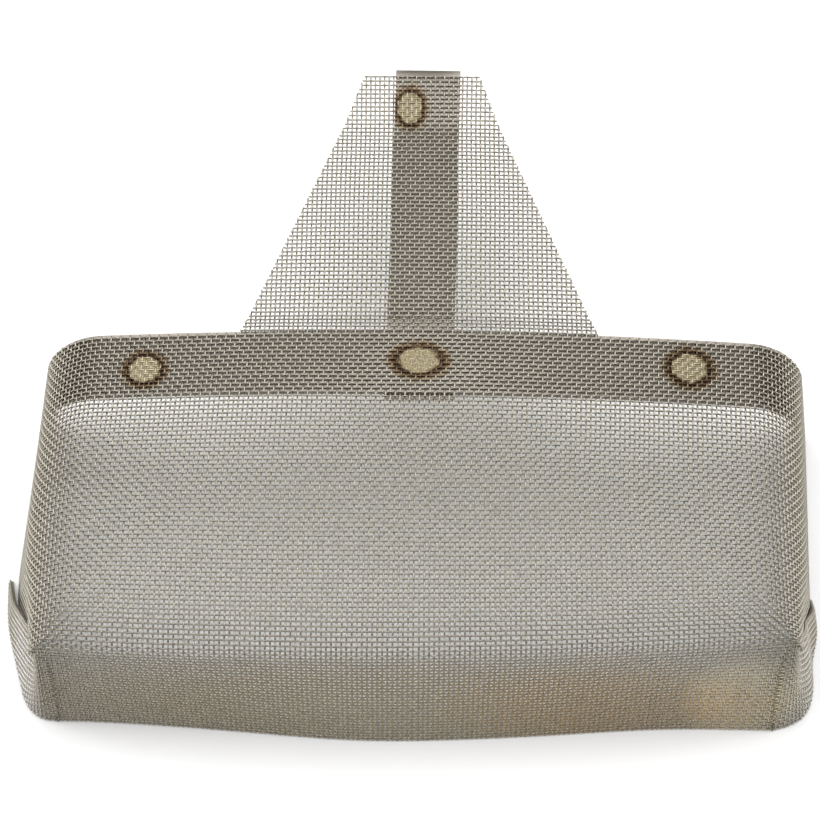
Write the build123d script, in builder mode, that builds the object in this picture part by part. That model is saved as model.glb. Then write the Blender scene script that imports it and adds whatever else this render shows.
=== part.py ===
"""A small folded wire-cloth fire screen on a welded strip frame, lying open side down on its rim.

One sheet of 16-mesh cloth makes a shallow pan: a panel, two splayed side walls and a front wall,
with the spare cloth of each front corner folded back along the side wall as a doubled flap.
The same sheet runs on past the mouth as a tapered tab. Inside the cloth lie two solid strips, a
U-shaped band round the mouth and a straight strap under the tab, and four spot welds join them.

Millimetres, +Z up. The origin is the middle of the whole screen's box, at the height of the rim.
+Y runs from the front wall to the tab.
"""
import os
from math import radians, tan
from build123d import *

# Sheet thicknesses
MESH_T = 0.9            # woven cloth, a little less than two wire diameters
STRIP_T = 1.0           # solid strip of the band and the strap
WELD_SINK = 0.3         # how far a spot weld is pressed below the cloth

# Lengths along Y
FRONT_Y = -112.65       # foot of the front wall, at the middle of its bow
MOUTH_Y = FRONT_Y + 121.1
MOUTH_LEAN = 4.1        # the mouth's foot stands this far in front of its top
BAND_WIDTH = 23.8
BAND_PROUD = 0.9        # the band shows this far past the cut edge of the cloth
RUN_PAST = 14.0         # working blocks run past the rim and the mouth by this much
REACH = 200.0           # longer than the screen, for cuts that go right through
SLAB_HEIGHT = 70.0      # taller than the screen

# The panel and front wall from the side, as (distance behind the front rim, height)
WALL_TOP = (7.8, 46.3)
PANEL_BREAK = (19.0, 51.2)
PANEL_FLAT = (68.0, 56.6)
PANEL_SLOPE = 0.0087    # gentle rise from PANEL_FLAT to the mouth
BEND_RADII = [6.0, 40.0, 150.0]

# The mouth's arch: (distance behind the front rim, half width at the foot, centre in X)
CENTRE_X = 1.0
ARCH_STATIONS = [(-8.0, 129.4, 0.2), (62.0, 132.2, 0.0), (127.0, 132.7, 2.3)]
SIDE_SPLAY = 0.1655     # a side wall moves in by this much for each millimetre up
SHOULDER_Z = 50.8
SHOULDER_R = 22.0
CROWN_Z = 57.0
PLAN_HALF_WIDTH = 130.0
PLAN_FAR_HALF = 137.0   # the plan outline clears the side walls at the mouth
FRONT_BOW = 5.3
CORNER_R = 12.0

# Corner flaps: the doubled triangles of cloth beside the side walls
FLAP_T = 2 * MESH_T
FLAP_START = 5.0        # distance behind the front rim
FLAP_INNER_X = 118.0    # a flap reaches no nearer to the middle than this
FLAP_HEIGHT = 42.0
FLAP_LENGTH = 51.0
FLAP_TIP_R = 1.5
FLAP_HINGE = (128.0, 16.0)  # it opens about an upright line: (from the middle, behind the rim)
FLAP_OPENING = {"left": 4.6, "right": 1.3}  # degrees that each flap stands open

# Tab and strap, from the side
STEP_DOWN = STRIP_T     # the tab lies on the strap, one strip lower than the panel
STEP_START = 2.5        # distance past the mouth
STEP_RUN = 5.0
STEP_R = 8.0
STRIP_RUN_PAST = 3.0    # a strip is swept this much too long at each end, then trimmed
TAB_LENGTH = 101.2
TAB_BASE_HALF = 59.4
TAB_END_HALF = 20.0
CURL_LENGTH = 16.5
CURL_ANGLE = 18.0
TAB_RISE = 2.2          # rise of the tab from the step to the start of its curled end
CURL_R = 20.0
TAB_CROWN_R = 1260.0
TAB_CROWN_SHIFT = 2.1   # the crown's highest line lies this far right of the middle
STRAP_WIDTH = 22.5
STRAP_PAST_TAB = 3.0
STRAP_PAST_BAND = 1.6
STRAP_SKEW = 2.1        # the strap's far end lies this far right of its near end

# Spot welds: (x, y, length in X, length in Y), with y behind the front rim
WELDS = {
    "left": (-90.0, 107.5, 10.5, 10.0),
    "centre": (0.0, 110.2, 13.8, 10.0),
    "right": (88.9, 110.3, 12.1, 11.2),
}
TOP_WELD = (-4.2, 211.7, 8.6, 11.0)


def panel_height(behind):
    """Height of the panel's outer face on the centre line, near the mouth."""
    return PANEL_FLAT[1] + PANEL_SLOPE * (behind - PANEL_FLAT[0])


def arch_outline(plane, half_width, centre, inset):
    """Side walls, shoulders and crown seen along Y, closed below the rim."""
    foot_x = half_width + SIDE_SPLAY * RUN_PAST
    top_x = half_width - SIDE_SPLAY * SHOULDER_Z
    left = (centre - top_x, SHOULDER_Z)
    right = (centre + top_x, SHOULDER_Z)
    with BuildSketch(plane) as outline:
        with BuildLine():
            ThreePointArc(left, (centre, CROWN_Z), right)
            Polyline(right, (centre + foot_x, -RUN_PAST), (centre - foot_x, -RUN_PAST), left)
        make_face()
        fillet(outline.vertices().group_by(Axis.Y)[-1], radius=SHOULDER_R)
        if inset:
            offset(amount=-inset, mode=Mode.REPLACE)
    return outline.sketch


def side_outline(inset):
    """Front wall, bend and panel seen along X, closed below the rim."""
    drop = RUN_PAST * WALL_TOP[0] / WALL_TOP[1]
    foot = (FRONT_Y - drop, -RUN_PAST)
    far = MOUTH_Y + RUN_PAST
    far_top = (far, panel_height(far - FRONT_Y))
    upper = [(FRONT_Y + behind, height) for behind, height in (WALL_TOP, PANEL_BREAK, PANEL_FLAT)]
    with BuildSketch(Plane.YZ) as outline:
        with BuildLine():
            FilletPolyline(foot, *upper, far_top, radius=BEND_RADII)
            Polyline(far_top, (far, -RUN_PAST), foot)
        make_face()
        if inset:
            offset(amount=-inset, mode=Mode.REPLACE)
    return outline.sketch


def plan_outline(inset):
    """Bowed front and rounded front corners seen along Z; the sides stay outside the walls."""
    corner_y = FRONT_Y + FRONT_BOW
    far = MOUTH_Y + RUN_PAST
    left = (CENTRE_X - PLAN_HALF_WIDTH, corner_y)
    right = (CENTRE_X + PLAN_HALF_WIDTH, corner_y)
    with BuildSketch() as outline:
        with BuildLine():
            ThreePointArc(left, (CENTRE_X, FRONT_Y), right)
            Polyline(right, (CENTRE_X + PLAN_FAR_HALF, far), (CENTRE_X - PLAN_FAR_HALF, far), left)
        make_face()
        fillet(outline.vertices().group_by(Axis.Y)[0], radius=CORNER_R)
        if inset:
            offset(amount=-inset, mode=Mode.REPLACE)
    return outline.sketch


def pan_block(inset):
    """The pan as a solid block with every face moved in by inset, running past rim and mouth."""
    with BuildPart() as block:
        for behind, half_width, centre in ARCH_STATIONS:
            add(arch_outline(Plane.XZ.offset(-FRONT_Y - behind), half_width, CENTRE_X + centre, inset))
        loft(ruled=True)
        extrude(side_outline(inset), amount=REACH, both=True, mode=Mode.INTERSECT)
        extrude(plan_outline(inset), amount=REACH, both=True, mode=Mode.INTERSECT)
    return block.part


def mouth_slab(front_top, back_top):
    """Everything above the rim between two planes that lean like the mouth, given by their tops."""
    rise = MOUTH_LEAN / CROWN_Z * (SLAB_HEIGHT - CROWN_Z)
    with BuildPart() as slab:
        with BuildSketch(Plane.YZ):
            with BuildLine():
                Polyline(
                    (front_top - MOUTH_LEAN, 0),
                    (back_top - MOUTH_LEAN, 0),
                    (back_top + rise, SLAB_HEIGHT),
                    (front_top + rise, SLAB_HEIGHT),
                    close=True,
                )
            make_face()
        extrude(amount=REACH, both=True)
    return slab.part


def weld_column(weld):
    """An upright elliptical column where a spot weld is, from below the panel to above the tab."""
    x, behind, length_x, length_y = weld
    with BuildPart() as column:
        with BuildSketch(Plane.XY.offset(SHOULDER_Z)):
            with Locations((CENTRE_X + x, FRONT_Y + behind)):
                Ellipse(length_x / 2, length_y / 2)
        extrude(amount=SLAB_HEIGHT - SHOULDER_Z)
    return column.part


def flap_prism(side):
    """The triangle of one corner flap seen along X, reaching outwards on the given side."""
    start = FRONT_Y + FLAP_START
    lean = FLAP_HEIGHT * WALL_TOP[0] / WALL_TOP[1]
    with BuildPart() as prism:
        with BuildSketch(Plane.YZ.offset(CENTRE_X + side * FLAP_INNER_X)) as triangle:
            with BuildLine():
                Polyline(
                    (start, 0),
                    (start + FLAP_LENGTH, 0),
                    (start + lean, FLAP_HEIGHT),
                    close=True,
                )
            make_face()
            fillet(triangle.vertices().sort_by(Axis.X)[-1], radius=FLAP_TIP_R)
        extrude(amount=side * REACH)
    return prism.part


def open_flap(name, side):
    """One doubled corner flap, swung open about its upright hinge line."""
    hinge_x, hinge_behind = FLAP_HINGE
    hinge = Axis((CENTRE_X + side * hinge_x, FRONT_Y + hinge_behind, 0), (0, 0, 1))
    with BuildPart() as closed_flap:
        add(pan_block(-FLAP_T))
        add(pan_block(0), mode=Mode.SUBTRACT)
        add(flap_prism(side), mode=Mode.INTERSECT)
    return closed_flap.part.rotate(hinge, -side * FLAP_OPENING[name])


def tab_side_points(past_mouth):
    """Side view of the tab's outer face: down a step, along with a gentle rise, and up a curl."""
    step_z = CROWN_Z - STEP_DOWN
    curl_y = MOUTH_Y + TAB_LENGTH - CURL_LENGTH
    curl_z = step_z + TAB_RISE
    end_y = MOUTH_Y + past_mouth
    end_z = curl_z + (end_y - curl_y) * tan(radians(CURL_ANGLE))
    return [(MOUTH_Y + STEP_START + STEP_RUN, step_z), (curl_y, curl_z), (end_y, end_z)]


def crowned_strip(side_points, radii, half_width, sink, thickness):
    """A strip slightly crowned across, swept along its side view; sink lowers its outer face."""
    start_y, start_z = side_points[0]
    top = start_z - sink
    bottom = top - thickness
    sag = half_width ** 2 / (2 * TAB_CROWN_R)
    middle = CENTRE_X + TAB_CROWN_SHIFT
    left = middle - half_width
    right = middle + half_width
    with BuildPart() as strip:
        with BuildLine(Plane.YZ):
            FilletPolyline(*side_points, radius=radii)
        with BuildSketch(Plane.XZ.offset(-start_y)):
            with BuildLine():
                ThreePointArc((left, top - sag), (middle, top), (right, top - sag))
                Line((right, top - sag), (right, bottom - sag))
                ThreePointArc((right, bottom - sag), (middle, bottom), (left, bottom - sag))
                Line((left, bottom - sag), (left, top - sag))
            make_face()
        sweep()
    return strip.part


def plan_column(points):
    """An upright column over a plan outline, taller than the screen."""
    with BuildPart() as column:
        with BuildSketch():
            with BuildLine():
                Polyline(*points, close=True)
            make_face()
        extrude(amount=REACH)
    return column.part


os.makedirs("parts", exist_ok=True)
outer = pan_block(0)
cloth_inner = pan_block(MESH_T)
band_inner = pan_block(MESH_T + STRIP_T)

# The cloth pan: panel, side walls and front wall, cut away where the welds are pressed in
with BuildPart() as mesh_pan:
    add(outer)
    add(cloth_inner, mode=Mode.SUBTRACT)
    add(mouth_slab(FRONT_Y - RUN_PAST, MOUTH_Y), mode=Mode.INTERSECT)
    for weld in WELDS.values():
        add(weld_column(weld), mode=Mode.SUBTRACT)
mesh_pan.part.label = "mesh_pan"
export_step(mesh_pan.part, "parts/mesh_pan.step")

# The doubled corner flaps, each lying outside its side wall
for name, side in (("left", -1), ("right", 1)):
    with BuildPart() as corner_flap:
        add(open_flap(name, side))
        add(outer, mode=Mode.SUBTRACT)
    corner_flap.part.label = f"{name}_corner_flap"
    export_step(corner_flap.part, f"parts/{name}_corner_flap.step")

# The tapered cloth tab beyond the mouth
tab_end_y = MOUTH_Y + TAB_LENGTH
tab_path = [
    (MOUTH_Y - STRIP_RUN_PAST, CROWN_Z),
    (MOUTH_Y + STEP_START, CROWN_Z),
    *tab_side_points(TAB_LENGTH + STRIP_RUN_PAST),
]
tab_radii = [STEP_R, STEP_R, CURL_R]
with BuildPart() as mesh_tab:
    add(crowned_strip(tab_path, tab_radii, TAB_BASE_HALF + STRIP_RUN_PAST, 0, MESH_T))
    tab_plan = [
        (CENTRE_X - TAB_BASE_HALF, MOUTH_Y),
        (CENTRE_X + TAB_BASE_HALF, MOUTH_Y),
        (CENTRE_X + TAB_END_HALF, tab_end_y),
        (CENTRE_X - TAB_END_HALF, tab_end_y),
    ]
    add(plan_column(tab_plan), mode=Mode.INTERSECT)
    add(weld_column(TOP_WELD), mode=Mode.SUBTRACT)
mesh_tab.part.label = "mesh_tab"
export_step(mesh_tab.part, "parts/mesh_tab.step")

# The U-shaped band inside the cloth at the mouth
with BuildPart() as mouth_band:
    add(cloth_inner)
    add(band_inner, mode=Mode.SUBTRACT)
    add(mouth_slab(MOUTH_Y + BAND_PROUD - BAND_WIDTH, MOUTH_Y + BAND_PROUD), mode=Mode.INTERSECT)
mouth_band.part.label = "mouth_band"
export_step(mouth_band.part, "parts/mouth_band.step")

# The straight strap under the band and the tab, a little skewed
strap_start_y = MOUTH_Y + BAND_PROUD - BAND_WIDTH - STRAP_PAST_BAND
strap_end_y = tab_end_y + STRAP_PAST_TAB
with BuildPart() as tab_strap:
    sweep_start_y = strap_start_y - STRIP_RUN_PAST
    strap_path = [
        (sweep_start_y, panel_height(sweep_start_y - FRONT_Y) - STRIP_T),
        *tab_side_points(TAB_LENGTH + STRAP_PAST_TAB + STRIP_RUN_PAST),
    ]
    add(crowned_strip(strap_path, CURL_R, STRAP_WIDTH, MESH_T, STRIP_T))
    strap_plan = [
        (CENTRE_X - STRAP_WIDTH / 2, strap_start_y),
        (CENTRE_X + STRAP_WIDTH / 2, strap_start_y),
        (CENTRE_X + STRAP_WIDTH / 2 + STRAP_SKEW, strap_end_y),
        (CENTRE_X - STRAP_WIDTH / 2 + STRAP_SKEW, strap_end_y),
    ]
    add(plan_column(strap_plan), mode=Mode.INTERSECT)
tab_strap.part.label = "tab_strap"
export_step(tab_strap.part, "parts/tab_strap.step")

# Three spot welds through the panel's cloth to the band
for name, weld in WELDS.items():
    with BuildPart() as spot_weld:
        add(pan_block(WELD_SINK))
        add(cloth_inner, mode=Mode.SUBTRACT)
        add(weld_column(weld), mode=Mode.INTERSECT)
    spot_weld.part.label = f"spot_weld_{name}"
    export_step(spot_weld.part, f"parts/spot_weld_{name}.step")

# The spot weld through the tab's cloth to the strap
with BuildPart() as spot_weld_top:
    add(crowned_strip(tab_path, tab_radii, TAB_BASE_HALF, WELD_SINK, MESH_T - WELD_SINK))
    add(weld_column(TOP_WELD), mode=Mode.INTERSECT)
spot_weld_top.part.label = "spot_weld_top"
export_step(spot_weld_top.part, "parts/spot_weld_top.step")
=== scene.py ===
"""The look of the small wire-cloth fire screen: real woven wires, solid strips, burnt spot welds.

Everything is in metres in the CAD frame: +X right, +Y from the front wall to the tab, +Z up from
the rim. Helper lengths named in millimetres are turned into metres with MM.
"""
from math import atan, pi, radians, sqrt, tan

import bpy
import numpy as np
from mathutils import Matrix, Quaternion, Vector


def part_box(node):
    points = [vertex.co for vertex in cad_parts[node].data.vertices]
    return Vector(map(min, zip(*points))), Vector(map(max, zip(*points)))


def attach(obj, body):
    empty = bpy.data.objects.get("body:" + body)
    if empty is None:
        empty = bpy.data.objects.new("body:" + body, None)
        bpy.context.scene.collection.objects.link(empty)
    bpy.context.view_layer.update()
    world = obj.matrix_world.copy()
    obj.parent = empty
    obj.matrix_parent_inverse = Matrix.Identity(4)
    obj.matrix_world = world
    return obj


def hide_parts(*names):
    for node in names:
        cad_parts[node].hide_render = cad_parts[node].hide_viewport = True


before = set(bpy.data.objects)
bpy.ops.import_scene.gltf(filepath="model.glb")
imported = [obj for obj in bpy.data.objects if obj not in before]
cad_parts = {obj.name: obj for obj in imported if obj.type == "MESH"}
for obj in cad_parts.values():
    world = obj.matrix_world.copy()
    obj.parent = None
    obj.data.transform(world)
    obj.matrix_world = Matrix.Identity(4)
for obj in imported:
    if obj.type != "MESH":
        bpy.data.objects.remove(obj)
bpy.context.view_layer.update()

MM = 0.001
CURVE_POINTS = 12       # points along each rounded corner of a path

# Woven cloth
PITCH = 1.5875          # 16 wires to the inch
HALF = PITCH / 2        # the cloth's grids have two steps to a wire
ROW_HALF = 0.7911       # along the pan, so that the last wire lies just above the rim
SHEET_HALF = 216        # grid steps from the sheet's middle to its edges
WIRE_R = 0.30
CRIMP = 0.27            # how far a wire bends to each side of the cloth's middle
TUBE_SIDES = 5
SHORTEST_END = 0.1      # a cut wire's end piece is at least this share of a grid step
MESH_T = 0.9            # how thick the CAD's cloth is
CLOTH_LIFT = 0.1        # the wires ride this much high, to clear the strips under them
RIPPLE = 0.10           # the cloth wanders by this much along X and Y

# The pan, with distances behind the front rim
CENTRE_X = 1.0
FRONT_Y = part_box("mesh_pan")[0].y / MM
MOUTH_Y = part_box("mesh_tab")[0].y / MM
MOUTH_BEHIND = MOUTH_Y - FRONT_Y
CROWN_Z = 57.0
SHOULDER_Z = 50.8
SHOULDER_R = 22.0
SHOULDER_GUESS = 16.0   # the shoulder's start is sought from this far inside the side wall
SIDE_SPLAY = 0.1655     # the side walls stand out by this much for each millimetre down
ARCH_STEP = 0.1         # how finely the arch is worked out
ARCH_REACH = 190.0      # and to what length, more than half the arch
ARCH_ROUNDS = 4         # and how often the shoulder's start is corrected
HALF_WIDTHS = ([-8.0, 62.0, 127.0], [129.4, 132.2, 132.7])
CENTRES = ([-8.0, 62.0, 127.0], [0.2, 0.0, 2.3])
WALL_TOP = (7.8, 46.3)
SIDE_PATH = [(MOUTH_BEHIND, 57.06), (68.0, 56.6), (19.0, 51.2), WALL_TOP, (0.0, 0.0), (-1.0, -6.0)]
SIDE_RADII = [150.0, 40.0, 6.0, 0.0]
BLEND = 0.3             # how softly the side view's curve takes over from the arch
MOUTH_LEAN = 4.1        # the mouth's foot stands this far in front of its top
LEAN_START = 20.0       # this lean grows from here
LEAN_REACH = 90.0       # to its full size over this distance
FRONT_DEPTH = 9.0       # rows nearer to the front rim than this belong to the front wall
RIM_BOW = 5.4           # the front rim's ends stand this far behind its foremost point
RIM_BOW_X = -8.0        # where that point is
RIM_BOW_REACH = 105.0
BEND_BOW = 0.0003       # the bend's line stands back by this times the distance squared
BEND_BOW_X = -40.0      # from here
BEND_BOW_FADE = 72.0    # and the panel's rows do so less and less over this distance

# Where the front wall, the side walls and the corner flaps meet
FRONT_EDGE = 148        # grid steps from the middle to where the flat front wall ends
CORNER_TOP_Z = 41.5
CORNER_OVERLAP = 0.8    # the corner's cloth reaches this much higher
CORNER_SPARE = 1.0      # and is worked out from rows up to this much higher
WALL_START = 17.0       # a side wall's cloth starts this far behind the front rim
WALL_TUCK = 2.8         # and is tucked in behind the flap by this much there
TUCK_END = 44.0         # the tuck ends this far back and this high up
TUCK_FADE = 27.0        # and has its full size this much nearer to the front
TUCK_FADE_Z = 12.0      # and this much lower
WALL_BULGE = 1.5        # the left wall's foot swells out by this much beside the flap's tip
BULGE_MIDDLE = 54.0     # the swelling's middle is this far back
BULGE_REACH = 18.0
BULGE_TOP_Z = 35.0      # and it ends at this height
CUT_PAST = 0.15         # the tab's wires end this far past the middle of the last wire across them
RIM_GAP = 0.15          # and the pan's wires end this far above the floor
NO_LIMIT = 99.0         # larger than any distance to a cut
# The pan is woven in six strips, cut at these even-numbered columns from the middle
PAN_CUTS = (-144, -74, 0, 74, 144)
PAN_PARTS = ("far_left", "left", "middle_left", "middle_right", "right", "far_right")

# The tab, from the side as (distance past the mouth, height)
TAB_PATH = [(0.0, CROWN_Z), (2.5, CROWN_Z), (7.5, 56.0), (84.7, 58.2), (105.0, 64.8)]
TAB_RADII = [8.0, 8.0, 20.0]
TAB_BASE_HALF = 59.4
TAB_END_HALF = 20.0
TAB_LENGTH = 102.0      # to just past the last wire across it

# Corner flaps: the front wall's rim carried round the corner to the tip, as (x, distance behind),
# which of its points is the corner, how the flap leans in X and Y for each millimetre up, how high
# the fold starts, and the fold's radius
FLAPS = {
    "left": {
        "side": -1,
        "rim": [(-121.5, 6.2), (-125.1, 8.7), (-127.9, 13.0), (-129.7, 18.6),
                (-132.1, 26.8), (-135.4, 39.5), (-136.9, 55.5)],
        "corner": 3,
        "lean": (0.2, 0.05),
        "apex": 41.0,
        "fold_r": 0.8,
    },
    "right": {
        "side": 1,
        "rim": [(121.9, 6.8), (126.5, 9.6), (129.2, 13.6), (130.6, 18.8),
                (131.2, 28.9), (133.5, 41.0), (132.6, 52.5)],
        "corner": 3,
        "lean": (-0.2, 0.13),
        "apex": 41.0,
        "fold_r": 0.7,
    },
}
FLAP_PAST_TIP = 4.0     # a flap's grid runs on past its tip by this much
FLAP_ROWS_ABOVE = 14    # and above the front wall's top by this many rows

# Spot welds: centre (x, distance behind, height), sizes along X and Y, brightness of the face
WELDS = {
    "left": (-89.0, 107.5, 54.0, 10.5, 10.0, 1.25),
    "centre": (1.0, 110.2, 54.0, 13.8, 10.0, 1.0),
    "right": (89.9, 110.3, 54.0, 12.1, 11.2, 1.2),
    "top": (-3.2, 211.7, 60.0, 8.6, 11.0, 1.0),
}
WELD_REACH_Z = 30.0     # a weld's heat tint hardly changes up and down over the cloth's thickness
PRESSED_CRIMP = 0.45    # wires keep this share of their crimp in a weld
PRESSED_WIDER = 0.8     # and would grow this much wider if they kept none
PRESS_EDGE = 1.2        # they are themselves again at this many weld radii from its centre
PRESS_RATE = 3.0        # having recovered this fast, in shares for each radius

# Metals: the plain colours and roughnesses to start from
PLAIN_METALS = {
    "wire_cloth_look": ((0.33, 0.31, 0.27), 0.42),
    "strip_steel_look": ((0.3, 0.28, 0.26), 0.42),
    "weld_look": ((0.72, 0.67, 0.5), 0.5),
}

# and the two tones that each surface wanders between, the scale of the noise that does it,
# and bumps as (strength, distance)
CLOTH_TONES = ((0.255, 0.235, 0.193), (0.378, 0.352, 0.294))
CLOTH_GRAIN = 900
CLOTH_ROUGHNESS = (0.28, 0.44)
STRIP_TONES = ((0.25, 0.224, 0.2), (0.38, 0.347, 0.305))
STRIP_GRAIN = 120
STRIP_STRETCH = (1, 14, 14)     # the noise is this much finer along Y and Z
STRIP_BURN = 0.8                # burnt metal on the strips is darker than on the cloth by this factor
STRIP_BUMP = (0.15, 0.0002)
WELD_TONES = ((0.13, 0.115, 0.08), (0.32, 0.295, 0.225))
WELD_GRAIN = 1500
WELD_BUMP = (0.6, 0.0003)
FLOOR_COLOUR = (0.9, 0.9, 0.9)
FLOOR_ROUGHNESS = 0.9

# Areas of another tint: centre, reach along each axis, tint. On the cloth some of these patches are
# painted light and shade: painted shade on the front wall, a painted golden highlight beside it, and
# painted bluish light on the two corners.
CLOTH_TINTS_AND_PAINTED_LIGHT = [
    # warm brown tint on the front wall, also made darker as painted shade on a wall that turns away
    # from the light above
    ((0, FRONT_Y + 3, 20), (170, 9, 34), (0.93, 0.86, 0.72)),
    ((62, FRONT_Y + 7, 16), (62, 12, 30), (1.06, 0.94, 0.78)),
    # painted golden highlight at the front wall's right end
    ((106, FRONT_Y + 9, 16), (22, 12, 28), (1.45, 1.4, 1.25)),
    # painted bluish light on the left and right corners, where they turn towards the side lights
    ((-128, FRONT_Y + 14, 12), (12, 26, 34), (1.35, 1.38, 1.52)),
    ((128, FRONT_Y + 14, 12), (12, 26, 34), (1.2, 1.23, 1.3)),
]
STRIP_PATCHES = [
    ((2, MOUTH_Y + 108, 66), (26, 9, 12), (0.22, 0.225, 0.215)),
]
PATCH_EDGE = 0.55       # a patch keeps its full tint to this share of its reach

# Heat rings round the spot welds, at shares of three weld radii
RING_SCALE = 3.0
RING_WANDER = 0.22      # how ragged the rings are
RING_GRAIN = 560
BURNT = (0.30, 0.22, 0.16)
BROWN = (0.54, 0.41, 0.30)
STRAW = (0.8, 0.7, 0.58)
FACE_MIDDLE = (1.0, 0.96, 0.84)
FACE_EDGE = (1.0, 0.93, 0.76)
UNTINTED = (1.0, 1.0, 1.0)

# Lights, with places and sizes in metres and power in watts, and the floor in metres
WORLD_LIGHT = 0.36
LIGHTS = {
    "key": {"place": (-0.1, 0.15, 1.3), "target": (0, 0, 0), "size": 1.6, "power": 23},
    "left_fill": {"place": (-1.1, 0.1, 0.45), "target": (0, 0, 0.03), "size": 0.6, "power": 6},
    "right_fill": {"place": (1.1, 0.1, 0.45), "target": (0, 0, 0.03), "size": 0.6, "power": 6},
}
FLOOR_SIZE = 6.0
FLOOR_Z = -0.0005       # just under the rim's wires

# Camera: its place and lens in millimetres, its roll in degrees, its near limit in metres
CAMERA_PLACE = (CENTRE_X - 0.14, FRONT_Y - 325.7, 750.45)
CAMERA_DIRECTION = (-0.00315, 0.51503, -0.85717)
CAMERA_ROLL = 0.40
CAMERA_LENS = 109.76
CAMERA_SENSOR = 36.0
CAMERA_NEAR = 0.01


# ---------------------------------------------------------------- surfaces

def rounded_path(points, radii, step):
    """Points a fixed step apart along a polyline whose inner corners are rounded."""
    points = [np.array(p, float) for p in points]
    line = [points[0]]
    for before, corner, after, radius in zip(points, points[1:], points[2:], radii):
        back = (before - corner) / np.linalg.norm(before - corner)
        ahead = (after - corner) / np.linalg.norm(after - corner)
        turn = pi - np.arccos(np.clip(back @ ahead, -1, 1))
        reach = radius * tan(turn / 2)
        start = corner + back * reach
        end = corner + ahead * reach
        for part in np.linspace(0, 1, CURVE_POINTS):
            line.append((1 - part) ** 2 * start + 2 * part * (1 - part) * corner + part ** 2 * end)
    line.append(points[-1])
    line = np.array(line)
    along = np.concatenate([[0], np.cumsum(np.linalg.norm(np.diff(line, axis=0), axis=1))])
    at = np.arange(0, along[-1], step)
    return np.stack([np.interp(at, along, line[:, k]) for k in range(2)], axis=1)


def section(half_width, lengths):
    """x and z of the mouth-shaped arch at given arc lengths from its crown, for one half width."""
    top_x = half_width - SIDE_SPLAY * SHOULDER_Z
    rise = CROWN_Z - SHOULDER_Z
    crown_r = (top_x ** 2 + rise ** 2) / (2 * rise)
    wall_angle = pi / 2 - atan(SIDE_SPLAY)
    fine = np.arange(0, ARCH_REACH, ARCH_STEP)
    turn_at = top_x - SHOULDER_GUESS
    for _ in range(ARCH_ROUNDS):
        start_angle = turn_at / crown_r
        angle = np.where(fine < turn_at, fine / crown_r, start_angle + (fine - turn_at) / SHOULDER_R)
        angle = np.minimum(angle, wall_angle)
        x = np.cumsum(np.cos(angle)) * ARCH_STEP
        z = CROWN_Z - np.cumsum(np.sin(angle)) * ARCH_STEP
        foot = np.interp(0, -z, x)
        turn_at += half_width - foot
    return np.interp(lengths, fine, x), np.interp(lengths, fine, z)


def lower_of(a, b):
    """The smaller of two heights, with a soft change-over."""
    gap = (a - b) / BLEND
    return (a + b) / 2 - BLEND * np.sqrt(gap ** 2 + 1) / 2


def rim_bow(x):
    """How far the front rim stands back from its foremost point."""
    return RIM_BOW * (1 - np.cos(pi * np.minimum(np.abs(x - RIM_BOW_X) / RIM_BOW_REACH, 1))) / 2


def bend_bow(x):
    """How far the bend stands back from its foremost point."""
    return BEND_BOW * (x - BEND_BOW_X) ** 2


def fade(value, start, reach):
    """0 up to start, then rising evenly to 1 over reach; a negative reach counts downwards."""
    return np.clip((value - start) / reach, 0, 1)


def arch_row(columns, behind):
    """Where the arch is centred at a distance behind the front rim, and its points from there."""
    at = min(max(behind, 0.0), MOUTH_BEHIND)
    x, z = section(np.interp(at, *HALF_WIDTHS), np.abs(columns) * HALF)
    return CENTRE_X + np.interp(at, *CENTRES), np.sign(columns) * x, z


def tab_row(columns, past_mouth, height):
    """One row of the tab, as wide as the mouth's arch; the tab's outline is cut later."""
    behind = MOUTH_BEHIND + past_mouth
    middle, x, z = arch_row(columns, behind)
    y = np.full(len(x), FRONT_Y + behind)
    return np.stack([middle + x, y, height - (CROWN_Z - z)], axis=-1)


def pan_row(columns, behind, height):
    """One row of the pan: the arch under the side view's curve, bowed, leaning and tucked in."""
    middle, x, z = arch_row(columns, behind)
    z = lower_of(z, height)
    at_rim = np.clip(1 - height / WALL_TOP[1], 0, 1) if behind < FRONT_DEPTH else 0.0
    near = max(0.0, 1 - max(behind - WALL_TOP[0], 0) / BEND_BOW_FADE) ** 2
    bow = rim_bow(x) * at_rim + bend_bow(x) * (1 - at_rim) * near
    lean = MOUTH_LEAN * (CROWN_Z - z) / CROWN_Z * fade(behind, LEAN_START, LEAN_REACH)
    tuck = WALL_TUCK * fade(behind, TUCK_END, -TUCK_FADE) * fade(z, TUCK_END, -TUCK_FADE_Z)
    x = x - np.sign(x) * np.where(np.abs(columns) > FRONT_EDGE, tuck, 0)
    bulge = WALL_BULGE * np.exp(-((behind - BULGE_MIDDLE) / BULGE_REACH) ** 2)
    x = x - np.where(columns < 0, bulge * fade(z, BULGE_TOP_Z, -BULGE_TOP_Z), 0)
    return np.stack([middle + x, FRONT_Y + behind + bow - lean, z], axis=-1)


def sheet_grid():
    """The tab's and the pan's one sheet as a grid of points, and how many of its rows are the tab's.

    The rows run from the tab's end to the front rim.
    """
    columns = np.arange(-SHEET_HALF, SHEET_HALF + 1)
    tab = rounded_path(TAB_PATH, TAB_RADII, HALF)[1:]
    tab = tab[:len(tab) // 2 * 2][::-1]
    pan = rounded_path(SIDE_PATH, SIDE_RADII, ROW_HALF)
    rows = [tab_row(columns, past_mouth, height) for past_mouth, height in tab]
    rows += [pan_row(columns, behind, height) for behind, height in pan]
    grid = np.array(rows)
    grid[..., 0] += RIPPLE * np.sin(grid[..., 1] / 9.0 + 1) * np.sin(grid[..., 0] / 14.0)
    grid[..., 1] += RIPPLE * np.sin(grid[..., 0] / 11.0) * np.sin(grid[..., 1] / 17.0 + 2)
    return grid, len(tab)


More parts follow.
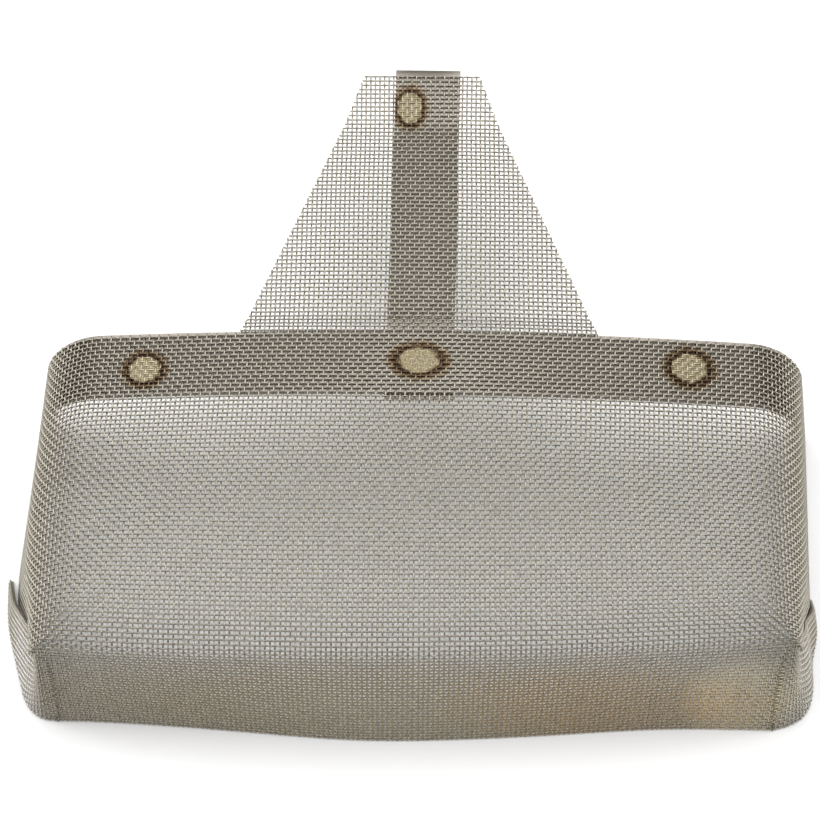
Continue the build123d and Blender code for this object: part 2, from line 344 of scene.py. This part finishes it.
def flap_grid(flap, edge, heights):
    """One corner's cloth, from the front wall round the corner, folded back along the diagonal.

    edge is the front wall's last column of points, from top to rim, and heights the rows' heights.
    Returns the grid and how far inside the cloth's cut and fold limits each point is.
    """
    foot = edge[-1]
    rim = np.array([(foot[0] - CENTRE_X, foot[1] - FRONT_Y), *flap["rim"]], float)
    front_lean = (edge[0, :2] - foot[:2]) / (edge[0, 2] - foot[2])
    along = np.concatenate([[0], np.cumsum(np.linalg.norm(np.diff(rim, axis=0), axis=1))])
    along -= along[flap["corner"]]
    tip = along[-1]
    apex = flap["apex"]
    r = flap["fold_r"]
    w, z = np.meshgrid(np.arange(along[0], tip + FLAP_PAST_TIP, HALF), heights)
    away = np.array([apex, tip]) / sqrt(tip ** 2 + apex ** 2)
    past = w * away[0] + (z - apex) * away[1]
    round_it = np.clip(past, 0, pi * r)
    shift = np.where(past > 0, -past + r * np.sin(round_it / r) - np.maximum(past - pi * r, 0), 0)
    depth = np.where(past > 0, r * (1 - np.cos(round_it / r)), 0)
    flat_w = w + shift * away[0]
    flat_z = z + shift * away[1]
    share = np.clip((flat_w - along[0]) / (0 - along[0]), 0, 1)
    share = share * share * (3 - 2 * share)
    lean = [front_lean[k] * (1 - share) + flap["lean"][k] * share for k in range(2)]
    grid = np.zeros(w.shape + (3,))
    grid[..., 0] = CENTRE_X + smooth_interp(flat_w, along, rim[:, 0]) + flat_z * lean[0]
    grid[..., 1] = FRONT_Y + smooth_interp(flat_w, along, rim[:, 1]) + flat_z * lean[1]
    grid[..., 2] = flat_z
    grid[..., 0] -= flap["side"] * share * depth
    top = np.where(w < 0, CORNER_TOP_Z + CORNER_OVERLAP - flat_z, NO_LIMIT)
    inside = np.minimum(np.minimum(flat_z - RIM_GAP, top), np.maximum(-past, flat_w))
    return grid, inside


def smooth_interp(at, xs, ys):
    """A smooth curve through a few points, by cubic Hermite pieces."""
    slopes = np.gradient(ys, xs)
    k = np.clip(np.searchsorted(xs, at) - 1, 0, len(xs) - 2)
    span = xs[k + 1] - xs[k]
    t = (at - xs[k]) / span
    return ((2 * t ** 3 - 3 * t ** 2 + 1) * ys[k] + (t ** 3 - 2 * t ** 2 + t) * span * slopes[k]
            + (3 * t ** 2 - 2 * t ** 3) * ys[k + 1] + (t ** 3 - t ** 2) * span * slopes[k + 1])


# ---------------------------------------------------------------- weaving

def unit(v):
    """Vectors brought to length 1."""
    return v / np.maximum(np.linalg.norm(v, axis=-1, keepdims=True), 1e-9)


def trimmed(line, normals, inside, wide):
    """The stretches of a wire that lie inside, each cut exactly where inside falls to zero."""
    flags = (inside > 0).astype(int)
    edges = np.flatnonzero(np.diff(np.concatenate([[0], flags, [0]])))
    for a, b in zip(edges[::2], edges[1::2]):
        points = list(line[a:b])
        sides = list(normals[a:b])
        widths = list(wide[a:b])
        if a > 0:
            part = inside[a] / (inside[a] - inside[a - 1])
            if part > SHORTEST_END:
                points.insert(0, line[a] + part * (line[a - 1] - line[a]))
                sides.insert(0, normals[a])
                widths.insert(0, wide[a])
        if b < len(line):
            part = inside[b - 1] / (inside[b - 1] - inside[b])
            if part > SHORTEST_END:
                points.append(line[b - 1] + part * (line[b] - line[b - 1]))
                sides.append(normals[b - 1])
                widths.append(wide[b - 1])
        if len(points) > 1:
            yield np.array(points), np.array(sides), np.array(widths)


def tube(points, normals, widths):
    """Vertices and faces of one wire, a closed tube along its points, widened where it is pressed."""
    along = unit(np.gradient(points, axis=0))
    across = unit(np.cross(along, normals))
    up = np.cross(across, along)
    angles = np.arange(TUBE_SIDES) * 2 * pi / TUBE_SIDES
    across = across * widths[:, None]
    up = up / widths[:, None]
    ring = points[:, None] + WIRE_R * (np.cos(angles)[None, :, None] * up[:, None]
                                       + np.sin(angles)[None, :, None] * across[:, None])
    n = len(points)
    first = np.arange(n - 1)[:, None] * TUBE_SIDES + np.arange(TUBE_SIDES)[None]
    following = np.arange(n - 1)[:, None] * TUBE_SIDES + (np.arange(TUBE_SIDES)[None] + 1) % TUBE_SIDES
    quads = np.stack([first, following, following + TUBE_SIDES, first + TUBE_SIDES], axis=-1)
    ends = n * TUBE_SIDES
    caps = [[ends + k for k in range(TUBE_SIDES - 1, -1, -1)],
            [ends + TUBE_SIDES + k for k in range(TUBE_SIDES)]]
    ring = np.concatenate([ring, ring[:1], ring[-1:]])
    return ring.reshape(-1, 3), quads.reshape(-1, 4), caps


def weave(name, grid, inside, row_phase=0, column_phase=0, flatten=None):
    """One piece of plain-woven cloth: wires along every other row and column of a grid."""
    if flatten is None:
        flatten = np.ones(inside.shape)
    normals = unit(np.cross(np.gradient(grid, axis=0), np.gradient(grid, axis=1)))
    rows, columns = inside.shape
    row_number = np.arange(rows) + row_phase
    column_number = np.arange(columns) + column_phase
    over = np.cos(pi / 2 * (row_number - 1))[:, None] * np.cos(pi / 2 * (column_number - 1))[None]
    bend = (over * CRIMP * flatten)[..., None] * normals
    widths = 1 + PRESSED_WIDER * (1 - flatten)
    middle = grid - normals * (MESH_T / 2 - CLOTH_LIFT)
    lines = []
    for c in np.flatnonzero(column_number % 2):
        lines.extend(trimmed(middle[:, c] + bend[:, c], normals[:, c], inside[:, c], widths[:, c]))
    for k in np.flatnonzero(row_number % 2):
        lines.extend(trimmed(middle[k] - bend[k], normals[k], inside[k], widths[k]))
    return wires(name, lines)


def wires(name, lines):
    """One mesh object from many wires, each given as (points, normals, widths) in millimetres."""
    vertices = []
    faces = []
    count = 0
    for line in lines:
        ring, quads, caps = tube(*line)
        vertices.append(ring)
        faces.extend((quads + count).tolist())
        faces.extend([[k + count for k in cap] for cap in caps])
        count += len(ring)
    mesh = bpy.data.meshes.new(name)
    mesh.from_pydata((np.concatenate(vertices) * MM).tolist(), [], faces)
    mesh.polygons.foreach_set("use_smooth", np.ones(len(mesh.polygons), bool))
    mesh.update()
    return link(bpy.data.objects.new(name, mesh))


def link(thing):
    """A new object put into the scene."""
    bpy.context.scene.collection.objects.link(thing)
    return thing


def weld_flatness(grid):
    """1 over free cloth, falling to a small part over each pressed spot weld."""
    keep = np.ones(grid.shape[:2])
    for x, behind, _, length_x, length_y, _ in WELDS.values():
        dx = (grid[..., 0] - x) / (length_x / 2)
        dy = (grid[..., 1] - FRONT_Y - behind) / (length_y / 2)
        recovered = 1 - (PRESS_EDGE - np.hypot(dx, dy)) * PRESS_RATE
        keep = np.minimum(keep, np.clip(recovered, PRESSED_CRIMP, 1))
    return keep


# ---------------------------------------------------------------- materials

def steel(name):
    """One of the plain metals to start from."""
    colour, roughness = PLAIN_METALS[name]
    material = bpy.data.materials.new(name)
    material.use_nodes = True
    shader = material.node_tree.nodes["Principled BSDF"]
    shader.inputs["Metallic"].default_value = 1.0
    shader.inputs["Base Color"].default_value = (*colour, 1)
    shader.inputs["Roughness"].default_value = roughness
    return material


def node(tree, kind, **inputs):
    """A new node with some of its inputs set."""
    made = tree.nodes.new(kind)
    for key, value in inputs.items():
        made.inputs[key.replace("_", " ")].default_value = value
    return made


def distance_from(tree, centre, reach):
    """A socket that is 0 at a centre and 1 at the given reach from it along each axis."""
    place = tree.nodes.new("ShaderNodeTexCoord")
    shifted = tree.nodes.new("ShaderNodeVectorMath")
    shifted.operation = "SUBTRACT"
    shifted.inputs[1].default_value = [k * MM for k in centre]
    tree.links.new(place.outputs["Object"], shifted.inputs[0])
    scaled = tree.nodes.new("ShaderNodeVectorMath")
    scaled.operation = "DIVIDE"
    scaled.inputs[1].default_value = [k * MM for k in reach]
    tree.links.new(shifted.outputs[0], scaled.inputs[0])
    length = tree.nodes.new("ShaderNodeVectorMath")
    length.operation = "LENGTH"
    tree.links.new(scaled.outputs[0], length.inputs[0])
    return length.outputs["Value"]


def ramp(tree, source, stops):
    """The colour that a list of (position, colour) stops gives a value."""
    made = tree.nodes.new("ShaderNodeValToRGB")
    elements = made.color_ramp.elements
    while len(elements) < len(stops):
        elements.new(0.5)
    for element, (position, colour) in zip(elements, stops):
        element.position = position
        element.color = (*colour, 1)
    tree.links.new(source, made.inputs[0])
    return made.outputs["Color"]


def multiply(tree, a, b):
    """Two colours multiplied."""
    mixed = tree.nodes.new("ShaderNodeMix")
    mixed.data_type = "RGBA"
    mixed.blend_type = "MULTIPLY"
    mixed.inputs["Factor"].default_value = 1
    tree.links.new(a, mixed.inputs["A"])
    tree.links.new(b, mixed.inputs["B"])
    return mixed.outputs["Result"]


def heat_tint(tree, colour, strength):
    """Colour multiplied by a pale face and a ragged brown-black ring at each spot weld."""
    burnt = [strength * k for k in BURNT]
    ring = [(0.345, burnt), (0.385, burnt), (0.43, BROWN), (0.49, STRAW), (0.56, UNTINTED)]
    place = tree.nodes.new("ShaderNodeTexCoord")
    wander = node(tree, "ShaderNodeTexNoise", Scale=RING_GRAIN, Detail=3)
    tree.links.new(place.outputs["Object"], wander.inputs["Vector"])
    for x, behind, z, length_x, length_y, bright in WELDS.values():
        face = [(0.0, [bright * k for k in FACE_MIDDLE]), (0.28, [bright * k for k in FACE_EDGE])]
        stops = [(position + RING_WANDER / 2, tint) for position, tint in face + ring]
        reach = (length_x / 2, length_y / 2, WELD_REACH_Z)
        distance = distance_from(tree, (x, FRONT_Y + behind, z), reach)
        share = tree.nodes.new("ShaderNodeMath")
        share.operation = "DIVIDE"
        share.inputs[1].default_value = RING_SCALE
        tree.links.new(distance, share.inputs[0])
        ragged = tree.nodes.new("ShaderNodeMath")
        ragged.operation = "MULTIPLY_ADD"
        ragged.inputs[1].default_value = RING_WANDER
        tree.links.new(wander.outputs["Fac"], ragged.inputs[0])
        tree.links.new(share.outputs[0], ragged.inputs[2])
        colour = multiply(tree, colour, ramp(tree, ragged.outputs[0], stops))
    return colour


def two_tones(tree, noise, tones):
    """A colour between two tones, by a noise."""
    dark, light = tones
    return ramp(tree, noise, [(0.3, dark), (0.7, light)])


def mottled(tree, tones, grain):
    """A colour that wanders between two tones over the object, and the noise behind it."""
    place = tree.nodes.new("ShaderNodeTexCoord")
    noise = node(tree, "ShaderNodeTexNoise", Scale=grain, Detail=4)
    tree.links.new(place.outputs["Object"], noise.inputs["Vector"])
    return two_tones(tree, noise.outputs["Fac"], tones), noise.outputs["Fac"]


def add_bump(tree, noise, bump):
    """Small bumps over a material, by a noise, as (strength, distance)."""
    strength, distance = bump
    made = node(tree, "ShaderNodeBump", Strength=strength, Distance=distance)
    tree.links.new(noise, made.inputs["Height"])
    tree.links.new(made.outputs["Normal"], tree.nodes["Principled BSDF"].inputs["Normal"])


def tint_and_painted_light_patches(tree, colour, patches):
    """Colour multiplied by soft-edged patches: tints, and on the cloth also painted light and shade.
    """
    for centre, reach, tint in patches:
        distance = distance_from(tree, centre, reach)
        colour = multiply(tree, colour, ramp(tree, distance, [(PATCH_EDGE, tint), (1, UNTINTED)]))
    return colour


def cloth_material():
    """Steel wire, tinted in patches, with painted shade, a painted highlight and painted light in some
    of them, and burnt at the spot welds.
    """
    material = steel("wire_cloth_look")
    tree = material.node_tree
    shader = tree.nodes["Principled BSDF"]
    base, grain = mottled(tree, CLOTH_TONES, CLOTH_GRAIN)
    # some of these patches are painted shade and painted light rather than the wire's own tint
    base = tint_and_painted_light_patches(tree, base, CLOTH_TINTS_AND_PAINTED_LIGHT)
    tree.links.new(heat_tint(tree, base, 1.0), shader.inputs["Base Color"])
    smooth, rough = CLOTH_ROUGHNESS
    spread = node(tree, "ShaderNodeMapRange", To_Min=smooth, To_Max=rough)
    tree.links.new(grain, spread.inputs["Value"])
    tree.links.new(spread.outputs["Result"], shader.inputs["Roughness"])
    return material


def strip_material():
    """Steel strip, with its grain along X."""
    material = steel("strip_steel_look")
    tree = material.node_tree
    shader = tree.nodes["Principled BSDF"]
    place = tree.nodes.new("ShaderNodeTexCoord")
    stretch = node(tree, "ShaderNodeMapping", Scale=STRIP_STRETCH)
    tree.links.new(place.outputs["Object"], stretch.inputs["Vector"])
    noise = node(tree, "ShaderNodeTexNoise", Scale=STRIP_GRAIN, Detail=5)
    tree.links.new(stretch.outputs["Vector"], noise.inputs["Vector"])
    base = two_tones(tree, noise.outputs["Fac"], STRIP_TONES)
    base = tint_and_painted_light_patches(tree, base, STRIP_PATCHES)
    tree.links.new(heat_tint(tree, base, STRIP_BURN), shader.inputs["Base Color"])
    add_bump(tree, noise.outputs["Fac"], STRIP_BUMP)
    return material


def weld_material():
    """The rough fused metal of a spot weld."""
    material = steel("weld_look")
    tree = material.node_tree
    shader = tree.nodes["Principled BSDF"]
    base, grain = mottled(tree, WELD_TONES, WELD_GRAIN)
    tree.links.new(heat_tint(tree, base, 1.0), shader.inputs["Base Color"])
    add_bump(tree, grain, WELD_BUMP)
    return material


def floor_material():
    """A pale, dull floor."""
    material = bpy.data.materials.new("pale_floor")
    material.use_nodes = True
    shader = material.node_tree.nodes["Principled BSDF"]
    shader.inputs["Base Color"].default_value = (*FLOOR_COLOUR, 1)
    shader.inputs["Roughness"].default_value = FLOOR_ROUGHNESS
    return material


# ---------------------------------------------------------------- pieces

CLOTH = cloth_material()
STRIP = strip_material()
WELD = weld_material()


def coat(piece, material):
    """One material on all of a piece."""
    piece.data.materials.clear()
    piece.data.materials.append(material)


def finish_piece(piece, material, slot, *nodes):
    """Material, body and replaced CAD nodes of one piece; slot is not used."""
    coat(piece, material)
    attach(piece, "root")
    if nodes:
        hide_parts(*nodes)


def make_cloth():
    """The tab, the pan in its strips and the two corner flaps, all woven from one sheet."""
    grid, first = sheet_grid()
    middle = grid.shape[1] // 2
    number = np.abs(np.arange(grid.shape[1]) - middle)
    x = grid[..., 0] - CENTRE_X
    behind = grid[..., 1] - FRONT_Y
    z = grid[..., 2]
    flatten = weld_flatness(grid)
    tab_half = TAB_BASE_HALF + (TAB_END_HALF - TAB_BASE_HALF) * (behind - MOUTH_BEHIND) / TAB_LENGTH
    cross_wires = behind[1::2]
    last_wire = cross_wires[cross_wires[:, middle] < MOUTH_BEHIND + TAB_LENGTH].max(axis=0)
    tab_inside = np.minimum(tab_half - np.abs(x), last_wire + CUT_PAST - behind)
    wall = np.maximum(z - CORNER_TOP_Z, behind - WALL_START)
    pan_inside = np.minimum(z - RIM_GAP, np.where(number > FRONT_EDGE, wall, NO_LIMIT))
    tab_rows = slice(0, first + 1)
    piece = weave("mesh_tab_wires", grid[tab_rows], tab_inside[tab_rows], flatten=flatten[tab_rows])
    finish_piece(piece, CLOTH, "wire_cloth", "mesh_tab")
    cuts = [0, *(middle + np.array(PAN_CUTS)), grid.shape[1] - 1]
    for part, low, high in zip(PAN_PARTS, cuts, cuts[1:]):
        here = (slice(first, None), slice(low, high + 1))
        piece = weave(f"mesh_pan_{part}", grid[here], pan_inside[here],
                      row_phase=first, column_phase=low, flatten=flatten[here])
        finish_piece(piece, CLOTH, "wire_cloth", "mesh_pan")
    for name, flap in FLAPS.items():
        make_flap(name, flap, grid, middle)


def make_flap(name, flap, grid, middle):
    """One corner's cloth, carrying on the front wall's rows from its last column."""
    column = middle + flap["side"] * FRONT_EDGE
    column_z = grid[:, column, 2]
    shown = np.flatnonzero((column_z > 0) & (column_z < CORNER_TOP_Z + CORNER_SPARE))
    below = shown[-1] + 1
    edge = grid[shown[0]:below + 1, column]
    above = edge[0, 2] + HALF * np.arange(FLAP_ROWS_ABOVE, 0, -1)
    folded, inside = flap_grid(flap, edge, np.concatenate([above, edge[:, 2]]))
    phase = column
    if flap["side"] < 0:
        folded = folded[:, ::-1]
        inside = inside[:, ::-1]
        phase = column - folded.shape[1] + 1
    piece = weave(f"{name}_flap_wires", folded, inside,
                  row_phase=shown[0] - FLAP_ROWS_ABOVE, column_phase=phase)
    finish_piece(piece, CLOTH, "wire_cloth", f"{name}_corner_flap")


def carry_over():
    """The CAD strips and weld spots keep their shape and get better materials."""
    for name in ("mouth_band", "tab_strap"):
        coat(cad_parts[name], STRIP)
    for name in WELDS:
        coat(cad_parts[f"spot_weld_{name}"], WELD)


# ---------------------------------------------------------------- stage

def make_stage():
    """The floor, an even white surrounding light and three area lights."""
    bpy.ops.mesh.primitive_plane_add(size=FLOOR_SIZE, location=(0, 0, FLOOR_Z))
    floor = bpy.context.object
    floor.name = "floor"
    floor.data.materials.append(floor_material())
    world = bpy.data.worlds.new("studio")
    bpy.context.scene.world = world
    world.use_nodes = True
    background = world.node_tree.nodes["Background"]
    background.inputs["Color"].default_value = (1, 1, 1, 1)
    background.inputs["Strength"].default_value = WORLD_LIGHT
    for name, light in LIGHTS.items():
        add_area(name, **light)


def add_area(name, place, target, size, power):
    """A square area light at a place, turned to its target."""
    data = bpy.data.lights.new(name, "AREA")
    data.energy = power
    data.size = size
    light = link(bpy.data.objects.new(name, data))
    light.location = place
    light.rotation_euler = (Vector(target) - Vector(place)).to_track_quat("-Z", "Y").to_euler()


def make_camera():
    """The camera, looking down on the pan from the front."""
    data = bpy.data.cameras.new("camera")
    data.lens = CAMERA_LENS
    data.sensor_width = CAMERA_SENSOR
    data.clip_start = CAMERA_NEAR
    camera = link(bpy.data.objects.new("camera", data))
    camera.location = [k * MM for k in CAMERA_PLACE]
    direction = Vector(CAMERA_DIRECTION)
    roll = Quaternion((0, 0, 1), radians(CAMERA_ROLL))
    camera.rotation_mode = "QUATERNION"
    camera.rotation_quaternion = direction.to_track_quat("-Z", "Y") @ roll
    bpy.context.scene.camera = camera


make_camera()
make_cloth()
carry_over()
make_stage()
bpy.context.scene.view_settings.view_transform = "Standard"
